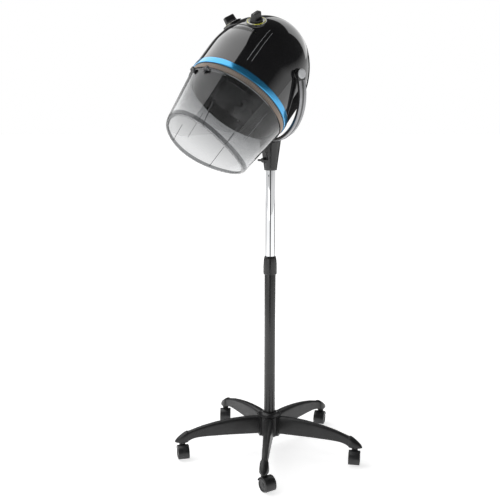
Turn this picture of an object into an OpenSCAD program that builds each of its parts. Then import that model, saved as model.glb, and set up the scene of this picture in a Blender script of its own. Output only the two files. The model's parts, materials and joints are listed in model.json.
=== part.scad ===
// Hood hair dryer on a five-leg castor stand.
// Origin on the floor under the pole, +Z up, +X to the front of the hood.

/* [Hood] */
// Outer diameter of the hood shell
hood_d = 340; // [280:5:420]
// Height of the dome above the accent band
dome_h = 289; // [240:1:340]
// Height of the straight wall between the band and the dome's widest line
dome_eq = 75; // [40:1:90]
// Radius of the crown
crown_r = 143; // [120:1:165]
// Wall of the hood shell
shell_wall = 3; // [2:0.5:5]
// Angle of the hood's axis from the vertical
hood_tilt = 42.3; // [35:0.1:51]
// Distance of the tilt pivot behind the hood's axis
pivot_back = 23; // [15:1:30]
// Distance of the tilt pivot above the band's top edge
pivot_up = 109; // [90:1:125]
// Height of the accent band
band_h = 20; // [12:1:28]
// How far the accent band stands out from the shell
band_proud = 2; // [1:0.5:3]
// Height of the air inlet ring
vent_h = 20; // [14:1:26]

/* [Visor] */
// Distance from the band's top edge to the visor's lowest edge
visor_len = 221; // [190:1:250]
// Radius of the visor at its mouth
visor_mouth_r = 141; // [120:1:160]
// How much shorter the visor is at its front and back
visor_wave = 18; // [8:1:26]
// Wall of the visor
visor_wall = 3; // [2:0.5:4]
// Width of the visor's inward lip
visor_lip = 11; // [6:1:16]
// Half the width of the flip-up front panel
flap_half_w = 95; // [75:1:105]

/* [Yoke] */
// Thickness of the yoke arm
yoke_t = 12; // [8:1:16]
// Width of the yoke arm
yoke_w = 28; // [20:1:36]
// Forward lean of the yoke
yoke_lean = 10; // [6:1:13]
// Gap between the yoke and the back of the hood at rest
hood_rest_gap = 4; // [3:0.5:8]
// Gap between the yoke arm and the shell
arm_gap = 2; // [1.5:0.5:4]
// Diameter of the tilt pivot pin
pivot_pin_d = 10; // [8:1:14]
// Diameter of the pivot cap
pivot_cap_d = 30; // [24:1:36]

/* [Stand] */
// Height of the tilt pivot above the floor
pivot_z = 1280; // [1070:1:1540]
// Outer diameter of the chromed mast
mast_od = 31; // [25:0.5:38]
// Wall of the mast
mast_wall = 1.5; // [1:0.25:2.5]
// Length of the mast
mast_len = 690; // [560:1:830]
// Wall of the guide bush
bush_wall = 1.95; // [1.5:0.05:3]
// Wall of the lower tube
tube_wall = 1.5; // [1:0.25:2.5]
// Height of the top of the lower tube
tube_top = 638; // [530:1:730]
// Height of the clamp collar
collar_h = 62; // [50:1:76]

/* [Base] */
// Diameter of the hub
hub_d = 75; // [64:1:90]
// Height of the hub
hub_h = 71; // [60:1:86]
// Distance from the pole to each castor stem
leg_reach = 308; // [256:1:370]
// Angle of the first leg from the hood's front
leg_turn = 46; // [0:1:71]
// Width of a leg at its root
leg_root_w = 34; // [28:1:42]
// Width of a leg at its neck
leg_neck_w = 20; // [16:1:26]
// Width of a leg at its tip
leg_tip_w = 32; // [26:1:40]
// Diameter of a castor wheel
wheel_d = 46; // [38:1:56]
// Width of one castor wheel
wheel_w = 15; // [12:1:18]
// Distance from the castor stem to the axle
castor_trail = 16; // [13:1:20]
// Diameter of the castor stem
stem_d = 11; // [8:0.5:14]
// Length of the castor stem inside the leg
stem_in = 24; // [18:1:29]

/* [Controls] */
// Diameter of a control knob
knob_d = 40; // [32:1:46]
// Angle of each knob to the side of the hood's front
knob_side = 23; // [18:1:28]
// Height of the knobs above the dome's widest line
knob_rise = 100; // [84:1:112]
// Width of a knob's grip
knob_grip = 17; // [12:1:20]
// Diameter of a dial ring
dial_d = 58; // [48:1:64]
// Diameter of a knob spindle
spindle_d = 6; // [4:0.5:8]
// Diameter of the cord hole in the gland
gland_bore_d = 7.5; // [6:0.5:10]

/* [Hidden] */

$fn = 64;
legs = 5;
leg_step = 360 / legs;
eps = 0.1;            // overshoot of a cut
run_fit = 0.05;       // radial clearance of a running fit
free_fit = 0.4;       // gap between parts that move past each other
seat_gap = 0.02;      // gap between separate solids of one group

// Hood
shell_r = hood_d / 2;
crown_c = dome_h - crown_r;
side_r = (pow(shell_r, 2) + pow(crown_c - dome_eq, 2) - pow(crown_r, 2)) / (2 * (shell_r - crown_r));
side_c = shell_r - side_r;
join_a = atan2(crown_c - dome_eq, -side_c);
band_r = shell_r + band_proud;
vent_r = shell_r - 1;
vent_z = -band_h - vent_h;
visor_top_r = shell_r - 3;
visor_slope = (visor_top_r - visor_mouth_r) / (visor_len + vent_z);
wave_r = (pow(visor_mouth_r, 2) + pow(visor_wave, 2)) / (2 * visor_wave);

// Yoke
lean_sum = hood_tilt + yoke_lean;
yoke_drop = yoke_t / 2 + (band_r - pivot_back + hood_rest_gap + yoke_w / 2 * cos(lean_sum)) / sin(lean_sum);
arm_in = shell_r + arm_gap;
yoke_r = arm_in + yoke_t / 2;
yoke_straight = yoke_drop - yoke_r;
pivot_x = yoke_drop * sin(yoke_lean);
saddle_z = pivot_z - yoke_drop * cos(yoke_lean);
pin_r = pivot_pin_d / 2;
boss_r = pin_r + 12;
washer_t = 1.5;
boss_in = shell_r - 30;
cap_t = 4;
boss_out = arm_in - washer_t - 0.1;
screw_y = 16;

// Stand
mast_r = mast_od / 2;
bush_r = mast_r + run_fit + bush_wall;
tube_r = bush_r + tube_wall;
seat_z = wheel_d / 2 + 32;
hub_z = seat_z;
hub_top = hub_z + hub_h;
hub_r = hub_d / 2;
tube_foot_z = hub_z + 8;
bolt_r = 6;
leg_screw_x = hub_r - 5.5;
collar_z = tube_top - 13;
collar_r = tube_r + 4;
bracket_top = saddle_z - yoke_t / 2;
bracket_r = mast_r + 6.5;
bracket_h = 92;
lock_z = bracket_top - 58;
mast_top = bracket_top - 14;
mast_foot = mast_top - mast_len;

// Base
wheel_r = wheel_d / 2;
web_t = 6;
wheel_gap = 1;
fork_w = web_t + 2 * (wheel_gap + wheel_w);
cover_r = wheel_r + 3;
stem_r = stem_d / 2;
axle_r = 3;
stem_z = wheel_r + 21;
castor_turn = [38, -7, -12, 3, 18];

// Controls
knob_r = knob_d / 2;
dial_r = dial_d / 2;
knob_z = dome_eq + knob_rise;
slot_z = knob_z - 52;
slot_w = 3;
knob_a = asin(knob_rise / side_r);
dial_rise = 3.5;
spindle_r = spindle_d / 2;
gland_z = 40;
gland_r = gland_bore_d / 2 + 5;

// Air unit
roof_z = 85;
roof_r = 110;
roof_hole_r = 42;
heater_r = 60;
vent_in = vent_r - 6;
drum_z = -50;
drum_foot_r = vent_in - 6;
foot_r = crown_r - 3;
unit_z = -32;
fan_z = roof_z + 45;
fan_r = 62;
shaft_r = 3;
bracket_z = fan_z + 32;
motor_r = 32;
motor_h = 56;
plate_t = 3;
flap_top = vent_z - 6;
hinge_z = vent_z - 10;
hinge_x = visor_r(hinge_z) + 5;
hinge_pin_r = 2;

function drum_r(z) = visor_r(z) - 8;
function visor_r(z) = visor_top_r - (vent_z - z) * visor_slope;
function arc_pts(cx, cy, r, a0, a1, n) =
    [for (i = [0:n]) [cx + r * cos(a0 + (a1 - a0) * i / n), cy + r * sin(a0 + (a1 - a0) * i / n)]];
function round_rect(w, h, r, n = 4) = concat(
    arc_pts(w / 2 - r, h / 2 - r, r, 0, 90, n), arc_pts(r - w / 2, h / 2 - r, r, 90, 180, n),
    arc_pts(r - w / 2, r - h / 2, r, 180, 270, n), arc_pts(w / 2 - r, r - h / 2, r, 270, 360, n));

// ---------- placing ----------
module at_pivot() { translate([pivot_x, 0, pivot_z]) children(); }
// Hood frame: z along the hood's axis to the crown, 0 at the band's top edge
module in_hood() {
    at_pivot() rotate([0, -hood_tilt, 0]) translate([pivot_back, 0, -pivot_up]) children();
}
// Yoke frame: origin on the tilt axis, z up the leaning yoke
module in_yoke() { at_pivot() rotate([0, yoke_lean, 0]) children(); }
// Frame on the dome's flank: z along the outward normal
module on_dome(side, rise) {
    rotate([0, 0, side]) translate([side_c, 0, dome_eq]) rotate([0, -rise, 0])
        translate([side_r, 0, 0]) rotate([0, 90, 0]) children();
}
module on_leg(i) { rotate([0, 0, leg_turn + leg_step * (i - 1)]) children(); }
module at_castor(i) {
    on_leg(i) translate([leg_reach, 0, 0]) rotate([0, 0, castor_turn[i - 1] - leg_step * (i - 1)]) children();
}
// Left and right
module both_sides() {
    children();
    mirror([0, 1, 0]) children();
}
module cyl_y(r, y0, y1) { translate([0, y0, 0]) rotate([-90, 0, 0]) cylinder(r = r, h = y1 - y0); }
module ring(r_out, r_in, z0, z1) {
    difference() {
        translate([0, 0, z0]) cylinder(r = r_out, h = z1 - z0);
        translate([0, 0, z0 - eps]) cylinder(r = r_in, h = z1 - z0 + 2 * eps);
    }
}

// ---------- base ----------
module base_hub() {
    color([0.09, 0.09, 0.09]) difference() {
        union() {
            translate([0, 0, hub_z]) cylinder(r = hub_r, h = hub_h);
            for (i = [1:legs]) on_leg(i) translate([hub_r - 12, -leg_root_w / 2 - 3, hub_z + 2])
                cube([15, leg_root_w + 6, hub_h - 4]);
        }
        translate([0, 0, tube_foot_z]) cylinder(r = tube_r, h = hub_h);
        translate([0, 0, hub_z - eps]) cylinder(r = bolt_r + 0.5, h = hub_h);
        for (i = [1:legs]) on_leg(i) translate([leg_screw_x, 0, hub_z - eps]) cylinder(r = 2.5, h = 12);
        for (i = [1:legs]) on_leg(i) translate([tube_r + 6, -leg_root_w / 2 + 4, hub_z + 8])
            cube([hub_r, leg_root_w - 8, hub_h - 18]);
    }
}
module hub_cover() {
    color([0.2, 0.2, 0.2]) rotate_extrude() polygon([
        [tube_r + 0.3, hub_top], [hub_r + 3, hub_top], [hub_r + 2.5, hub_top + 1.5],
        [tube_r + 10, hub_top + 3], [tube_r + 3, hub_top + 9], [tube_r + 0.3, hub_top + 9]]);
}
module hub_bolt() {
    color("silver") {
        translate([0, 0, hub_z - 7]) cylinder(r = 9, h = 6 - seat_gap, $fn = 6);
        translate([0, 0, hub_z - 2.5]) cylinder(r = bolt_r, h = 20);
        ring(16, bolt_r + seat_gap, hub_z - 1, hub_z - seat_gap);
    }
}
// Side outline of one leg, in its own plane
module leg_side() {
    top = hub_top - 2;
    root = hub_r + 3.3;
    tip = leg_reach + 26;
    hook = leg_reach - 16;
    polygon(concat(
        [[root, hub_z + 10], [root, top], [root + 55, top + 1], [root + 110, top - 3],
         [leg_reach - 110, top - 11], [leg_reach - 60, top - 21], [leg_reach - 24, top - 33],
         [leg_reach - 16, top - 34], [leg_reach - 4, top - 39], [leg_reach + 10, top - 47],
         [leg_reach + 18, top - 54], [tip, seat_z + 1.5], [tip - 2, seat_z], [hook, seat_z]],
        arc_pts(hook - 18, seat_z, 16, 8, 90, 6),
        [[leg_reach - 60, hub_z + 14], [leg_reach - 160, hub_z + 13]]));
}
// Plan outline of one leg
module leg_plan() {
    polygon([[hub_r, -leg_root_w / 2], [hub_r + 12, -leg_root_w / 2], [leg_reach - 110, -leg_neck_w / 2 - 2],
        [leg_reach - 40, -leg_neck_w / 2], [leg_reach - 12, -leg_tip_w / 2], [leg_reach + 8, -leg_tip_w / 2],
        [leg_reach + 22, -leg_tip_w / 4], [leg_reach + 27, 0], [leg_reach + 22, leg_tip_w / 4],
        [leg_reach + 8, leg_tip_w / 2], [leg_reach - 12, leg_tip_w / 2], [leg_reach - 40, leg_neck_w / 2],
        [leg_reach - 110, leg_neck_w / 2 + 2], [hub_r + 12, leg_root_w / 2], [hub_r, leg_root_w / 2]]);
}
module leg(i) {
    color([0.12, 0.12, 0.12]) on_leg(i) difference() {
        union() {
            intersection() {
                rotate([90, 0, 0]) linear_extrude(leg_root_w + leg_tip_w, center = true) leg_side();
                linear_extrude(hub_top + 10) leg_plan();
            }
            translate([tube_r + 6.3, -leg_root_w / 2 + 4.3, hub_z + 8.3])
                cube([hub_r - tube_r, leg_root_w - 8.6, hub_h - 18.6]);
        }
        translate([leg_reach, 0, seat_z - eps]) cylinder(r = stem_r + run_fit, h = stem_in + eps);
        translate([leg_screw_x, 0, hub_z]) cylinder(r = 2.5, h = 24);
    }
}
module leg_screws() {
    color("silver") for (i = [1:legs]) on_leg(i) translate([leg_screw_x, 0, hub_z - 4]) {
        cylinder(r = 4.5, h = 4 - seat_gap);
        cylinder(r = 2.4, h = 26);
    }
}

// ---------- castors ----------
// Castor frame: stem on the z axis, axle along y, behind the stem
module castor_fork(i) {
    color([0.08, 0.08, 0.08]) at_castor(i) difference() {
        union() {
            translate([castor_trail, 0, wheel_r]) difference() {
                cyl_y(cover_r, -fork_w / 2, fork_w / 2);
                cyl_y(cover_r - 2, -fork_w, -web_t / 2);
                cyl_y(cover_r - 2, web_t / 2, fork_w);
                rotate([0, 28, 0]) translate([-cover_r, -fork_w, -2 * cover_r - 4])
                    cube([3 * cover_r, 2 * fork_w, 2 * cover_r]);
            }
            translate([castor_trail, 0, wheel_r]) cyl_y(9, -web_t / 2, web_t / 2);
            translate([0, 0, wheel_r + 12]) cylinder(r = stem_r + 5, h = 16);
        }
        translate([castor_trail, 0, wheel_r]) cyl_y(axle_r + run_fit, -fork_w, fork_w);
        translate([0, 0, stem_z]) cylinder(r = stem_r, h = 30);
        translate([0, 0, wheel_r + 10]) cylinder(r = web_t / 2 - 0.6, h = 20);
        translate([castor_trail, 0, wheel_r]) both_sides() cyl_y(wheel_r + 0.8, web_t / 2 + 0.2, fork_w);
    }
}
module castor_stem(i) {
    color("silver") at_castor(i) {
        translate([0, 0, stem_z]) cylinder(r = stem_r, h = seat_z - stem_z + stem_in - 1);
        translate([0, 0, wheel_r + 10 + seat_gap]) cylinder(r = web_t / 2 - 0.6 - seat_gap, h = 15);
        translate([0, 0, wheel_r + 28.2]) cylinder(r = stem_r + 3, h = 2.5);
    }
}
module castor_wheels(i) {
    color([0.14, 0.14, 0.14]) at_castor(i) translate([castor_trail, 0, wheel_r]) {
        cyl_y(axle_r, -fork_w / 2 + 1, fork_w / 2 - 1);
        both_sides() translate([0, web_t / 2 + wheel_gap, 0]) rotate([-90, 0, 0]) rotate_extrude() polygon([
            [axle_r + seat_gap, 0], [wheel_r - 1, 0], [wheel_r, 1.5], [wheel_r, wheel_w - 4],
            [wheel_r - 1.5, wheel_w - 1.5], [wheel_r - 5, wheel_w], [wheel_r - 7, wheel_w - 2],
            [9, wheel_w - 3], [axle_r + seat_gap, wheel_w - 3]]);
    }
}

// ---------- pole ----------
module lower_tube() {
    color([0.07, 0.07, 0.07]) {
        ring(tube_r, tube_r - tube_wall, tube_foot_z, tube_top);
        ring(tube_r - tube_wall / 2, bolt_r, tube_foot_z, tube_foot_z + 10);
    }
}
module guide_bush() {
    color("white") {
        ring(bush_r, mast_r + run_fit, tube_top - 60, tube_top);
        ring(tube_r, mast_r + run_fit, tube_top, tube_top + 3);
    }
}
module collar_ferrule() {
    color([0.2, 0.2, 0.2]) difference() {
        union() {
            ring(tube_r + 1.5, tube_r, tube_top - 10, tube_top + 3);
            ring(tube_r + 1.5, mast_r + 0.3, tube_top + 3, tube_top + 24);
        }
        for (i = [0:3]) rotate([0, 0, 90 * i]) translate([0, -1, tube_top + 8]) cube([tube_r * 2, 2, 30]);
    }
}
module clamp_collar() {
    lip = tube_r + 1.5 + free_fit;
    color([0.1, 0.1, 0.1]) difference() {
        rotate_extrude() polygon(concat(
            [[lip, collar_z], [collar_r - 1, collar_z], [collar_r, collar_z + 1.5], [collar_r, collar_z + 16]],
            [for (k = [1:6]) [mast_r + 1.5 + (collar_r - mast_r - 1.5) * cos(13.5 * k),
                collar_z + 16 + (collar_h - 17) * sin(90 * k / 6) ]],
            [[mast_r + 0.5, collar_z + collar_h], [mast_r + 0.5, tube_top + 25], [lip, tube_top + 25]]));
        for (i = [0:11]) rotate([0, 0, 30 * i]) translate([collar_r + 1.2, 0, collar_z + 3])
            cylinder(r = 2, h = 11);
    }
}
module upper_tube() { color([0.85, 0.85, 0.87]) ring(mast_r, mast_r - mast_wall, mast_foot, mast_top); }
module tube_foot() {
    color("white") {
        ring(bush_r - 0.1, 6, mast_foot - 8, mast_foot);
        ring(mast_r - mast_wall, 6, mast_foot, mast_foot + 20);
    }
}

// ---------- head mount ----------
// Solid that the yoke's outer side wraps, for seating the bracket under it
module yoke_inside() {
    in_yoke() translate([-60, 0, -yoke_straight]) rotate([0, 90, 0]) cylinder(r = yoke_r + yoke_t / 2, h = 120);
}
module yoke_screw_places() {
    in_yoke() for (y = [-screw_y, screw_y]) translate([0, y, -yoke_drop]) children();
}
module head_bracket() {
    color([0.1, 0.1, 0.1]) difference() {
        union() {
            translate([0, 0, bracket_top - bracket_h]) cylinder(r1 = bracket_r - 1.5, r2 = bracket_r + 12, h = bracket_h + 6);
            translate([0, 0, lock_z]) rotate([0, 90, 0]) cylinder(r = 9, h = bracket_r + 8);
        }
        translate([0, 0, bracket_top - bracket_h - eps])
            cylinder(r = mast_r + run_fit, h = mast_top - bracket_top + bracket_h + run_fit + eps);
        yoke_inside();
        in_hood() translate([-band_r - 6, -80, -300]) cube([400, 160, 400]);
        yoke_screw_places() translate([0, 0, -20]) cylinder(r = 3, h = 30);
        translate([0, 0, lock_z]) rotate([0, 90, 0]) cylinder(r = 4 + run_fit, h = 60);
    }
}
module lock_screw() {
    color([0.1, 0.1, 0.1]) translate([0, 0, lock_z]) rotate([0, 90, 0]) {
        translate([0, 0, mast_r + 0.3]) cylinder(r = 4, h = bracket_r);
        translate([0, 0, bracket_r + 8.4]) cylinder(r = 8, h = 5);
        translate([0, 0, bracket_r + 11]) linear_extrude(11) polygon(round_rect(7, 30, 3));
    }
}
// Cross-section of the yoke arm: across the arm, then along the pivot axis
module arm_section() {
    difference() {
        polygon(round_rect(yoke_w, yoke_t, 4.5));
        translate([-3.5, yoke_t / 2 - 1.5]) square([7, 4]);
    }
}
module yoke() {
    color([0.08, 0.08, 0.08]) in_yoke() difference() {
        union() {
            translate([0, 0, -yoke_straight]) rotate([90, 0, 90]) rotate_extrude(angle = 180, start = 180)
                translate([yoke_r, 0]) rotate(-90) arm_section();
            both_sides() {
                translate([0, yoke_r, -yoke_straight]) linear_extrude(yoke_straight - 6) arm_section();
                cyl_y(yoke_w / 2, arm_in, arm_in + yoke_t);
            }
        }
        both_sides() cyl_y(pin_r, arm_in - 1, arm_in + yoke_t + 1);
        for (y = [-screw_y, screw_y]) translate([0, y, -yoke_drop]) {
            translate([0, 0, -20]) cylinder(r = 3, h = 30);
            translate([0, 0, 2.5]) cylinder(r = 6, h = 12);
        }
    }
}
module yoke_screws() {
    color("silver") yoke_screw_places() {
        translate([0, 0, -18]) cylinder(r = 3, h = 22);
        translate([0, 0, 2.5]) cylinder(r = 5.8, h = 3);
    }
}
module pivot_pins() {
    nut_y = arm_in + yoke_t;
    color("silver") at_pivot() both_sides() {
        cyl_y(pin_r, boss_in - 3, nut_y + 2.5);
        cyl_y(pin_r + 3, boss_in - 4.1, boss_in - 0.1);
        difference() {
            cyl_y(pin_r + 3.5, nut_y + seat_gap, nut_y + 2.4);
            cyl_y(pin_r + seat_gap, nut_y - 1, nut_y + 3);
        }
    }
}
module pivot_caps() {
    cap_y = arm_in + yoke_t;
    color([0.72, 0.73, 0.74]) at_pivot() both_sides() difference() {
        translate([0, cap_y, 0]) rotate([-90, 0, 0]) rotate_extrude() polygon([
            [0, 0], [pivot_cap_d / 2, 0], [pivot_cap_d / 2, cap_t - 2], [pivot_cap_d / 2 - 1.5, cap_t - 0.6],
            [pivot_cap_d / 2 - 4, cap_t], [0, cap_t + 0.6]]);
        cyl_y(pin_r + 4, cap_y - 1, cap_y + 2.7);
    }
}

// ---------- hood ----------
// Solid of revolution of the dome, inset from the shell's outer face
module dome(inset, z0 = 0) {
    rise = dome_eq + (side_r - inset) * sin(join_a);
    rotate_extrude($fn = 256) union() {
        translate([0, z0]) square([shell_r - inset, dome_eq - z0]);
        intersection() {
            translate([side_c, dome_eq]) circle(r = side_r - inset);
            translate([0, dome_eq]) square([shell_r + 10, rise - dome_eq]);
        }
        intersection() {
            translate([0, crown_c]) circle(r = crown_r - inset);
            translate([0, rise]) square([shell_r, dome_h]);
        }
    }
}
module at_tilt_axis() { translate([-pivot_back, 0, pivot_up]) children(); }
module at_motor_feet() { for (a = [60, 180, 300]) rotate([0, 0, a]) translate([foot_r, 0, 0]) children(); }
module at_drum_feet() { for (a = [45, 135, 225, 315]) rotate([0, 0, a]) translate([drum_foot_r, 0, 0]) children(); }
module at_knobs() {
    on_dome(knob_side, knob_a) children();
    on_dome(-knob_side, knob_a) children();
}
module hood_shell() {
    color([0.03, 0.03, 0.03]) in_hood() difference() {
        union() {
            difference() {
                dome(0);
                dome(shell_wall, -eps);
            }
            at_tilt_axis() both_sides() cyl_y(boss_r, boss_in, boss_out);
            intersection() {
                dome(shell_wall / 2);
                union() {
                    at_motor_feet() translate([0, 0, bracket_z + plate_t]) cylinder(r = 6, h = 60);
                    at_drum_feet() {
                        translate([0, 0, -3]) cylinder(r = 5.5, h = 24);
                        translate([0, -3, 0]) cube([30, 6, 20]);
                    }
                }
            }
        }
        at_tilt_axis() both_sides() cyl_y(pin_r + run_fit, boss_in - 1, boss_out + 1);
        at_motor_feet() translate([0, 0, bracket_z]) cylinder(r = 2, h = 14);
        at_drum_feet() translate([0, 0, -5]) cylinder(r = 2, h = 18);
        at_knobs() translate([0, 0, -20]) cylinder(r = 8, h = 40);
        translate([0, 0, gland_z]) rotate([0, -90, 0]) cylinder(r = gland_r + 0.1, h = shell_r + 20);
        for (k = [-15:15]) rotate([0, 0, 2.2 * k]) translate([shell_r - 30, -slot_w / 2, slot_z]) cube([40, slot_w, 13]);
    }
}
module friction_washers() {
    color([0.15, 0.15, 0.15]) at_pivot() both_sides() difference() {
        cyl_y(boss_r - 1, boss_out, boss_out + washer_t);
        cyl_y(pin_r + run_fit, boss_out - 1, boss_out + 3);
    }
}
module accent_band() {
    inner = shell_r - shell_wall + 0.3;
    color([0.13, 0.45, 0.8]) in_hood() rotate_extrude($fn = 128) polygon([
        [inner, -band_h], [band_r - 0.8, -band_h], [band_r, 1.5 - band_h], [band_r + 0.4, -band_h / 2],
        [band_r, -1.5], [band_r - 0.8, 0], [inner, 0]]);
}
module vent_ring() {
    color([0.45, 0.4, 0.35]) in_hood() difference() {
        ring(vent_r, vent_in, vent_z, -band_h);
        for (k = [0:35]) rotate([0, 0, 10 * k]) translate([vent_in - 5, -5, vent_z + 4])
            cube([20, 10, vent_h - 8]);
    }
}
module inner_drum() {
    rim_r = drum_r(-6);
    low_r = drum_r(drum_z) - 12;
    color([0.06, 0.06, 0.06]) in_hood() difference() {
        rotate_extrude($fn = 128) polygon([
            [low_r, drum_z], [rim_r, -12], [rim_r, -6], [shell_r - shell_wall - 0.2, -6], [shell_r - shell_wall - 0.2, -3],
            [drum_foot_r - 6, -3], [roof_r, roof_z - 25], [heater_r + 3, roof_z], [roof_hole_r, roof_z],
            [roof_hole_r, roof_z - 2.5], [heater_r + 3, roof_z - 2.5], [roof_r - 2, roof_z - 27.5],
            [drum_foot_r - 8, -6], [rim_r - 2.5, -6], [rim_r - 2.5, -12],
            [low_r - 2.5, drum_z]]);
        for (k = [0:17]) rotate([0, 0, 20 * k]) {
            translate([roof_r - 20, 0, 0]) cylinder(r = 4, h = roof_z + 10);
            rotate([0, 0, 10]) translate([roof_r + 14, 0, 0]) cylinder(r = 4, h = roof_z + 10);
        }
        at_drum_feet() translate([0, 0, -10]) cylinder(r = 2.2, h = 20);
    }
}
// Visor cone, inset from the visor's outer face
module visor_cone(inset) {
    translate([0, 0, -visor_len - 20]) cylinder(r1 = visor_r(-visor_len - 20) - inset,
        r2 = visor_r(vent_z) - inset, h = visor_len + 20 + vent_z, $fn = 128);
}
// Round bar across the hood whose underside shapes the mouth's wave
module wave_bar(inset) { translate([0, 0, wave_r - visor_len]) cyl_y(wave_r - inset, -shell_r, shell_r); }
module visor_whole() {
    difference() {
        intersection() {
            visor_cone(0);
            wave_bar(0);
        }
        intersection() {
            translate([0, 0, eps]) visor_cone(visor_wall);
            wave_bar(visor_wall);
        }
        visor_cone(visor_lip);
    }
}
module flap_box(half_w, z1) {
    translate([0, -half_w, -visor_len - 30]) cube([shell_r + 30, 2 * half_w, visor_len + 30 + z1]);
}
module visor_ring() {
    color([0.5, 0.52, 0.55, 0.45]) in_hood() difference() {
        union() {
            difference() {
                visor_whole();
                flap_box(flap_half_w, flap_top);
            }
            difference() {
                both_sides() {
                    translate([hinge_x - 12, 33, flap_top]) cube([16.3, 8, vent_z - flap_top]);
                    translate([hinge_x - 3, 33, hinge_z]) cube([7.3, 8, vent_z - hinge_z]);
                    translate([hinge_x, 0, hinge_z]) cyl_y(4.3, 33, 41);
                }
                visor_cone(visor_wall);
            }
        }
        translate([hinge_x, 0, hinge_z]) cyl_y(hinge_pin_r, -50, 50);
    }
}
module visor_flap() {
    color([0.5, 0.52, 0.55, 0.45]) in_hood() difference() {
        union() {
            intersection() {
                visor_whole();
                flap_box(flap_half_w - free_fit, flap_top - free_fit);
            }
            difference() {
                both_sides() {
                    translate([hinge_x - 11, 22, hinge_z - 9]) cube([11, 10, 11]);
                    translate([hinge_x, 0, hinge_z]) cyl_y(4.3, 22, 32);
                }
                visor_cone(visor_wall);
            }
        }
        translate([hinge_x, 0, hinge_z]) cyl_y(hinge_pin_r + run_fit, -50, 50);
    }
}
module visor_pins() {
    color("silver") in_hood() translate([hinge_x, 0, hinge_z]) both_sides() cyl_y(hinge_pin_r, 20, 42);
}

// ---------- controls ----------
module control_panel() {
    color([0.05, 0.05, 0.06]) in_hood() difference() {
        union() {
            at_knobs() translate([0, 0, -8]) cylinder(r = dial_r + 3, h = 8 + dial_rise);
            intersection() {
                dome(-1.5);
                on_dome(0, knob_a) translate([0, 0, -40]) linear_extrude(60) polygon(round_rect(58, 176, 28));
            }
        }
        dome(0);
        at_knobs() translate([0, 0, -20]) cylinder(r = 5.2, h = 40);
    }
}
module dial_rings() {
    color([0.85, 0.85, 0.8]) in_hood() at_knobs() ring(dial_r, knob_r + 2, dial_rise, dial_rise + 1.5);
}
module knob() {
    base = dial_rise + free_fit;
    difference() {
        union() {
            translate([0, 0, base]) cylinder(r = knob_r, h = 6);
            translate([0, 0, base + 6]) cylinder(r1 = knob_r, r2 = knob_r - 1.5, h = 1.5);
            translate([0, 0, base + 7]) linear_extrude(19) polygon(round_rect(knob_d - 4, knob_grip, 3));
        }
        translate([0, 0, base - eps]) cylinder(r = knob_r - 2, h = 2);
    }
    translate([0, 0, unit_z + 3]) cylinder(r = spindle_r, h = base + 5 - unit_z - 3);
}
module timer_knob() { color([0.06, 0.06, 0.06]) in_hood() on_dome(knob_side, knob_a) knob(); }
module heat_knob() { color([0.06, 0.06, 0.06]) in_hood() on_dome(-knob_side, knob_a) knob(); }
module spindle_neck() { translate([0, 0, unit_z + 20]) cylinder(r = 5, h = dial_rise - unit_z - 20); }
module spindle_hole() { translate([0, 0, unit_z + 2]) cylinder(r = spindle_r + run_fit, h = 60); }
module timer_unit() {
    color([0.8, 0.78, 0.7]) in_hood() on_dome(knob_side, knob_a) difference() {
        union() {
            translate([-20, -20, unit_z]) cube([40, 40, 22]);
            spindle_neck();
        }
        spindle_hole();
    }
}
module heat_switch() {
    color([0.15, 0.13, 0.1]) in_hood() on_dome(-knob_side, knob_a) difference() {
        union() {
            translate([0, 0, unit_z]) cylinder(r = 18, h = 22);
            for (x = [-8, 8]) translate([x - 3, -0.4, unit_z - 8]) cube([6, 0.8, 9]);
            spindle_neck();
        }
        spindle_hole();
    }
}

// ---------- air unit ----------
module motor() {
    color([0.6, 0.6, 0.62]) in_hood() difference() {
        union() {
            translate([0, 0, bracket_z + plate_t]) cylinder(r = motor_r, h = motor_h);
            translate([0, 0, bracket_z + plate_t + motor_h]) cylinder(r = 10, h = 5);
            translate([0, 0, bracket_z]) cylinder(r = 10, h = plate_t + 1);
        }
        translate([0, 0, bracket_z - eps]) cylinder(r = shaft_r + run_fit, h = motor_h);
    }
}
module motor_bracket() {
    color([0.7, 0.7, 0.7]) in_hood() difference() {
        union() {
            translate([0, 0, bracket_z]) cylinder(r = motor_r + 8, h = plate_t);
            for (a = [60, 180, 300]) rotate([0, 0, a]) {
                translate([motor_r, -8, bracket_z]) cube([foot_r - motor_r, 16, plate_t]);
                translate([foot_r, 0, bracket_z]) cylinder(r = 8, h = plate_t);
            }
        }
        translate([0, 0, bracket_z - eps]) cylinder(r = 10, h = plate_t + 2 * eps);
        at_motor_feet() translate([0, 0, bracket_z - eps]) cylinder(r = 2.2, h = plate_t + 2 * eps);
    }
}
module motor_shaft() {
    color("silver") in_hood() translate([0, 0, fan_z - 1]) cylinder(r = shaft_r, h = bracket_z - fan_z + motor_h - 4);
}
module fan() {
    color([0.25, 0.25, 0.27]) in_hood() difference() {
        union() {
            translate([0, 0, fan_z]) cylinder(r = 18, h = 24);
            for (k = [0:6]) rotate([0, 0, 360 / 7 * k]) translate([16, 0, fan_z + 12]) rotate([38, 0, 0])
                translate([0, -1, -11]) cube([fan_r - 17, 2, 22]);
        }
        translate([0, 0, fan_z - eps]) cylinder(r = shaft_r, h = 30);
    }
}
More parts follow.
